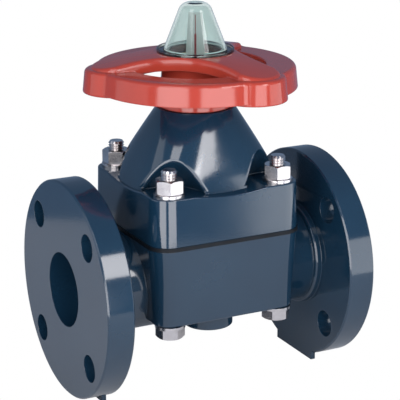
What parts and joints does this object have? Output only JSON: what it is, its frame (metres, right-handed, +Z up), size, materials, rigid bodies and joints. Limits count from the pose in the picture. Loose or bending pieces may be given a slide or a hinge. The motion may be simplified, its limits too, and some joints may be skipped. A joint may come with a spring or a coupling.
{
  "type": "diaphragm valve",
  "caption": "Hand-operated weir diaphragm valve with flanged ends, a square bolted bonnet, a lobed handwheel and a clear cone over a position indicator.",
  "frame": {"origin": "on the surface that the feet stand on, under the crossing of the flow axis and the stem axis", "axes": "+X along the flow towards the outlet flange, +Z up the stem, +Y to the side"},
  "size_m": [0.203, 0.1524, 0.268],
  "materials": {
    "body_plastic": "glossy blue-grey rigid PVC",
    "wheel_plastic": "glossy orange-red moulded plastic",
    "stainless": "bright stainless steel",
    "stem_steel": "machined steel",
    "bronze": "machined copper alloy",
    "black_rubber": "matt black rubber",
    "slide_plastic": "off-white low-friction plastic",
    "compressor_plastic": "dark glass-filled plastic",
    "clear_plastic": "clear, faintly grey-green plastic",
    "white_plastic": "white plastic",
    "red_line": "red line"
  },
  "bodies": {
    "housing": {"valve_body": "body_plastic", "mounting_inserts": "bronze", "diaphragm": "black_rubber", "bonnet": "body_plastic", "stem_ring": "black_rubber", "sleeve_retainer": "body_plastic", "lower_thrust_ring": "slide_plastic", "upper_thrust_ring": "slide_plastic", "body_bolts": "stainless", "body_nuts": "stainless", "upper_washers": "stainless", "lower_washers": "stainless"},
    "handwheel_group": {"handwheel": "wheel_plastic", "sleeve": "bronze", "sleeve_ring": "black_rubber", "wheel_nut": "stem_steel", "gauge_cover": "clear_plastic", "cover_seal": "black_rubber"},
    "stem_group": {"stem": "stem_steel", "compressor": "compressor_plastic", "compressor_pin": "stainless", "diaphragm_stud": "stainless", "position_indicator": "white_plastic", "indicator_line": "red_line"}
  },
  "joints": [
    {"name": "handwheel_turn", "type": "hinge", "parent": "housing", "child": "handwheel_group", "pos_m": [0, 0, 0.1972], "axis": [0, 0, 1], "range_deg": [-1800, 0]},
    {"name": "stem_lift", "type": "slide", "parent": "housing", "child": "stem_group", "axis": [0, 0, 1], "range_m": [-0.025, 0], "deforming": ["diaphragm"]}
  ],
  "couplings": [
    {"joint": "stem_lift", "follows": "handwheel_turn", "m_per_rad": 0.00079577}
  ]
}
